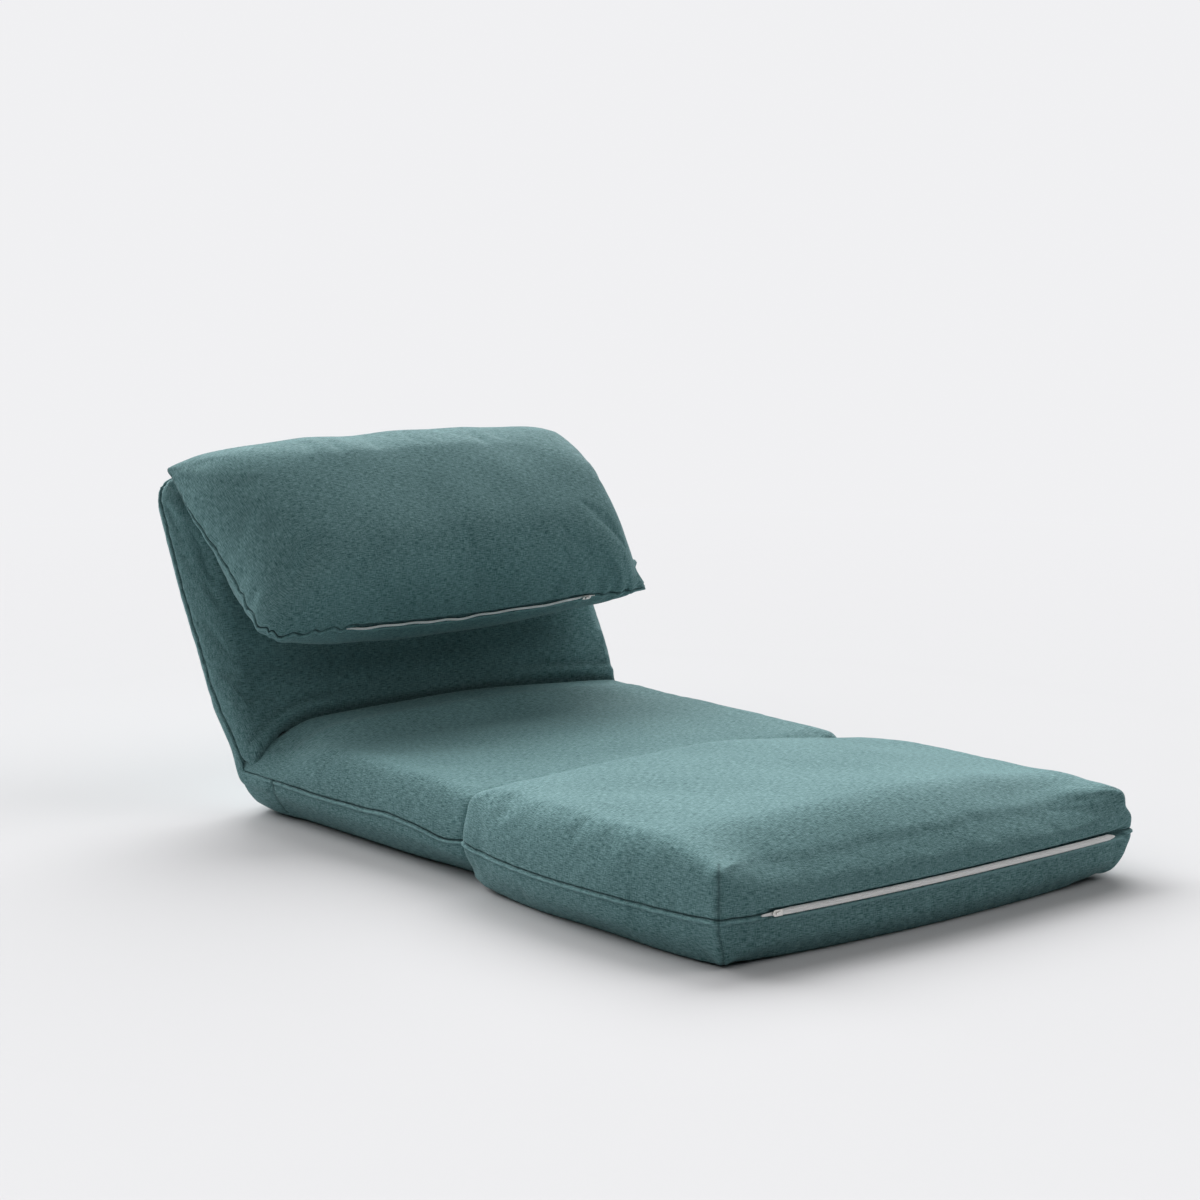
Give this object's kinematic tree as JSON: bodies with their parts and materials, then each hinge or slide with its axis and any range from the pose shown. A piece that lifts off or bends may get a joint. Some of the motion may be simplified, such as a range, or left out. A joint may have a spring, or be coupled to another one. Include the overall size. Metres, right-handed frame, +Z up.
{
  "type": "multi-position floor chair",
  "caption": "Low upholstered floor chair: padded seat, back on ratchet hinges, foot cushion that folds over the seat, and a head pillow hung from the back's top edge.",
  "frame": {"origin": "on the floor, at the centre of the seat's underside", "axes": "+X to the chair's left seen from its front, +Y from the foot cushion towards the back, +Z up"},
  "size_m": [0.77, 1.2904, 0.5216],
  "materials": {
    "teal_fabric": "matt teal melange weave",
    "foam": "open-cell foam",
    "wadding": "polyester fibre",
    "elastic": "black elastic webbing",
    "base_cloth": "non-woven cloth with grip",
    "black_steel": "powder-coated",
    "zinc_steel": "zinc-plated",
    "spring_steel": "blued spring steel",
    "zip_white": "white woven tape and coil",
    "slider_metal": "satin"
  },
  "bodies": {
    "seat": {"seat_frame_tube": "black_steel", "seat_cross_tubes": "black_steel", "seat_webbing": "elastic", "seat_frame_rivets": "zinc_steel", "seat_foam_top": "foam", "seat_foam_bottom": "foam", "seat_top_cover": "teal_fabric", "seat_bottom_cover": "teal_fabric", "seat_base_cloth": "base_cloth", "ratchet_cheeks_left": "zinc_steel", "ratchet_cheeks_right": "zinc_steel", "ratchet_pawl_left": "spring_steel", "ratchet_pawl_right": "spring_steel", "ratchet_rivet_left": "zinc_steel", "ratchet_rivet_right": "zinc_steel", "foot_hinge_strap": "teal_fabric"},
    "back": {"back_frame_tube": "black_steel", "back_cross_tubes": "black_steel", "back_webbing": "elastic", "back_frame_rivets": "zinc_steel", "back_foam_front": "foam", "back_foam_rear": "foam", "back_front_cover": "teal_fabric", "back_rear_cover": "teal_fabric", "ratchet_sector_left": "zinc_steel", "ratchet_sector_right": "zinc_steel", "pillow_hinge_strip": "teal_fabric"},
    "foot": {"foot_foam": "foam", "foot_wadding": "wadding", "foot_top_cover": "teal_fabric", "foot_bottom_cover": "teal_fabric", "foot_zip": "zip_white"},
    "foot_slider": {"foot_zip_slider": "slider_metal"},
    "pillow": {"pillow_fill": "wadding", "pillow_front_cover": "teal_fabric", "pillow_rear_cover": "teal_fabric", "pillow_zip": "zip_white"},
    "pillow_slider": {"pillow_zip_slider": "slider_metal"}
  },
  "joints": [
    {"name": "back_recline", "type": "hinge", "parent": "seat", "child": "back", "pos_m": [0, 0.27, 0.062], "axis": [-1, 0, 0], "range_deg": [0, 63], "deforming": ["ratchet_pawl_left", "ratchet_pawl_right"]},
    {"name": "foot_fold", "type": "hinge", "parent": "seat", "child": "foot", "pos_m": [0, -0.27, 0.118], "axis": [-1, 0, 0], "range_deg": [0, 180], "deforming": ["foot_top_cover", "foot_wadding", "pillow_fill", "pillow_front_cover", "pillow_rear_cover"]},
    {"name": "pillow_swing", "type": "hinge", "parent": "back", "child": "pillow", "pos_m": [0, 0.4718, 0.4867], "axis": [-1, 0, 0], "range_deg": [0, 140]},
    {"name": "foot_zip_slide", "type": "hinge", "parent": "foot", "child": "foot_slider", "pos_m": [0, 2.83, 0.062], "axis": [0, 0, 1], "range_deg": [0, 9.4]},
    {"name": "pillow_zip_slide", "type": "slide", "parent": "pillow", "child": "pillow_slider", "axis": [-1, 0, 0], "range_m": [0, 0.44]}
  ]
}
